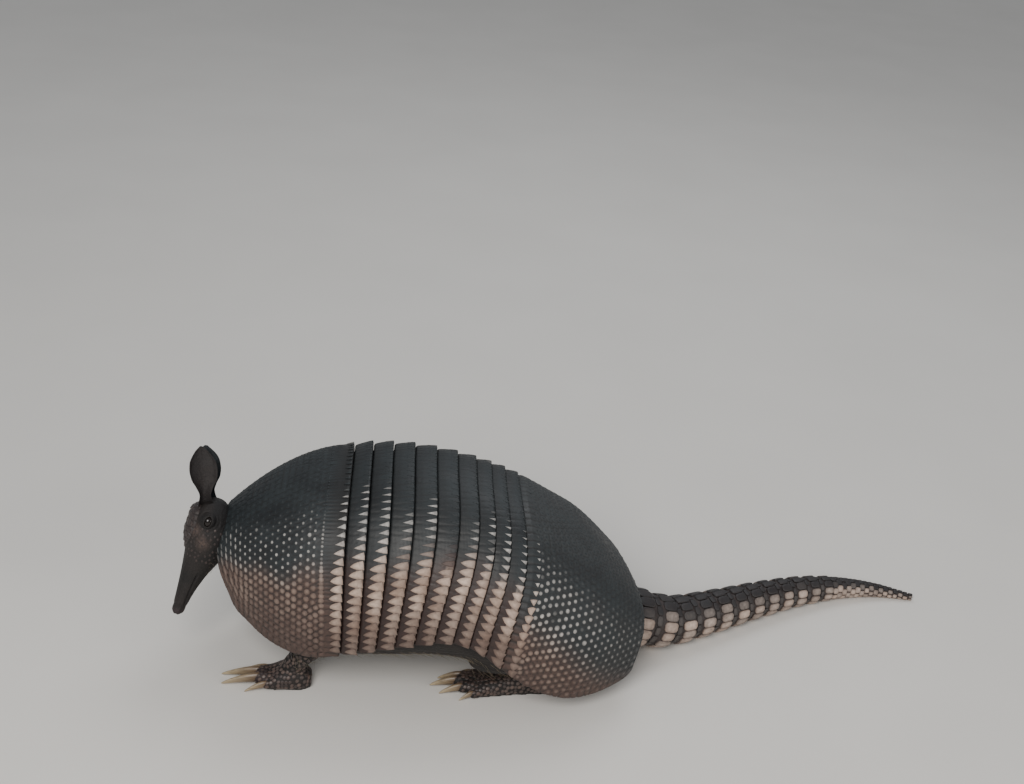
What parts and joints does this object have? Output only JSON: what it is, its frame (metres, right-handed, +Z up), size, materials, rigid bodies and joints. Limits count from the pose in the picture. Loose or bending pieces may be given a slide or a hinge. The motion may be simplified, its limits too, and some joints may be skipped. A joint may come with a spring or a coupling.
{
  "type": "armadillo",
  "caption": "Nine-banded armadillo, life size, standing crouched with its head hanging and its tail laid out behind it on the floor.",
  "frame": {"origin": "at floor level, under the middle of the whole body's box", "axes": "+Z up, the head points to -X and the tail to +X, the animal's left side faces -Y"},
  "size_m": [0.6312, 0.1975, 0.1811],
  "materials": {
    "shell": "horny scutes over bone, dark blue-grey with pale dots, satin",
    "scute": "horny scutes, pale triangles and dark grooves, satin",
    "skin": "grey-brown wrinkled hide with small scales",
    "dark_skin": "dark pebbled hide, naked",
    "horn": "pale horn, worn smooth",
    "eye": "wet and dark"
  },
  "bodies": {
    "root": {"shell_scapular": "shell", "band_1": "scute", "band_2": "scute", "band_3": "scute", "band_4": "scute", "band_5": "scute", "band_6": "scute", "band_7": "scute", "band_8": "scute", "band_9": "scute", "shell_pelvic": "shell", "trunk": "skin", "neck": "skin", "head": "skin", "muzzle": "skin", "nose": "dark_skin", "head_shield": "shell", "eye_left": "eye", "ear_left": "dark_skin", "foreleg_left": "skin", "hindleg_left": "skin", "forepaw_left": "skin", "hindpaw_left": "skin", "foreclaw_left_1": "horn", "foreclaw_left_2": "horn", "foreclaw_left_3": "horn", "foreclaw_left_4": "horn", "hindclaw_left_1": "horn", "hindclaw_left_2": "horn", "hindclaw_left_3": "horn", "hindclaw_left_4": "horn", "hindclaw_left_5": "horn", "eye_right": "eye", "ear_right": "dark_skin", "foreleg_right": "skin", "hindleg_right": "skin", "forepaw_right": "skin", "hindpaw_right": "skin", "foreclaw_right_1": "horn", "foreclaw_right_2": "horn", "foreclaw_right_3": "horn", "foreclaw_right_4": "horn", "hindclaw_right_1": "horn", "hindclaw_right_2": "horn", "hindclaw_right_3": "horn", "hindclaw_right_4": "horn", "hindclaw_right_5": "horn", "tail_ring_1": "scute", "tail_ring_2": "scute", "tail_ring_3": "scute", "tail_ring_4": "scute", "tail_ring_5": "scute", "tail_ring_6": "scute", "tail_ring_7": "scute", "tail_ring_8": "scute", "tail_ring_9": "scute", "tail_ring_10": "scute", "tail_ring_11": "scute", "tail_ring_12": "scute", "tail_tip": "shell"}
  },
  "joints": []
}
